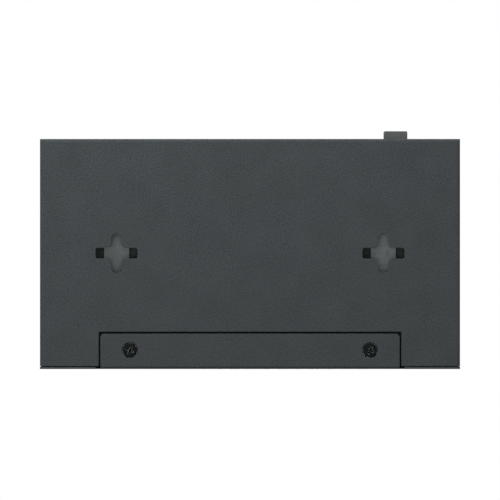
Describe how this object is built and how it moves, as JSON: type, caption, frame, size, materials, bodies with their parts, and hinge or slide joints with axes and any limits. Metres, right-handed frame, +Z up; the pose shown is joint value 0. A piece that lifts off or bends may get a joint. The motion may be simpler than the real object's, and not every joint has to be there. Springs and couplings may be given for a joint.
{
  "type": "ethernet switch",
  "caption": "Flat box-shaped ethernet switch in a folded dark grey steel case, with modular sockets, a power socket and cross-shaped wall keyholes.",
  "frame": {"origin": "centre of the flat underside", "axes": "+X along the case towards the power socket end, -Y out of the socket wall, +Z up to the cover"},
  "size_m": [0.1574, 0.0894, 0.027],
  "materials": {
    "powder_coat": "matt fine texture powder coat, dark grey",
    "black_screw": "satin black oxide",
    "bare_steel": "satin zinc plate",
    "tinned_steel": "bright tin plate",
    "standoff_brass": "satin turned brass",
    "gold_wire": "bright gold plate",
    "board_green": "glossy solder mask over glass fibre board",
    "black_moulding": "fine matt moulded plastic",
    "chip_black": "matt epoxy moulding",
    "sink_aluminium": "black anodised aluminium",
    "can_aluminium": "bright drawn aluminium",
    "ferrite": "matt ferrite",
    "clear_pipe": "clear polished plastic",
    "lamp_white": "clear resin over a white body"
  },
  "bodies": {
    "root": {"base_pan": "powder_coat", "top_cover": "powder_coat", "cover_screw_left": "black_screw", "cover_screw_right": "black_screw", "cover_nut_left": "bare_steel", "cover_nut_right": "bare_steel", "keyhole_strap_left": "bare_steel", "keyhole_strap_right": "bare_steel", "board_standoffs": "standoff_brass", "board_screws": "bare_steel", "circuit_board": "board_green", "port_shield_left": "tinned_steel", "port_shield_right": "tinned_steel", "port_housing_left": "black_moulding", "port_housing_right": "black_moulding", "port_contacts_left": "gold_wire", "port_contacts_right": "gold_wire", "dc_jack_housing": "black_moulding", "dc_jack_pin": "tinned_steel", "dc_jack_spring": "tinned_steel", "switch_chip": "chip_black", "heat_sink": "sink_aluminium", "crystal": "tinned_steel", "regulator": "chip_black", "power_inductor": "ferrite", "light_pipe": "clear_pipe", "transformer_1": "chip_black", "transformer_leads_1": "tinned_steel", "transformer_2": "chip_black", "transformer_leads_2": "tinned_steel", "transformer_3": "chip_black", "transformer_leads_3": "tinned_steel", "transformer_4": "chip_black", "transformer_leads_4": "tinned_steel", "capacitor_1": "can_aluminium", "capacitor_2": "can_aluminium", "capacitor_3": "can_aluminium", "power_lamp": "lamp_white", "port_lamp_1": "lamp_white", "port_lamp_2": "lamp_white", "port_lamp_3": "lamp_white", "port_lamp_4": "lamp_white", "port_lamp_5": "lamp_white", "port_lamp_6": "lamp_white", "port_lamp_7": "lamp_white", "port_lamp_8": "lamp_white"}
  },
  "joints": []
}
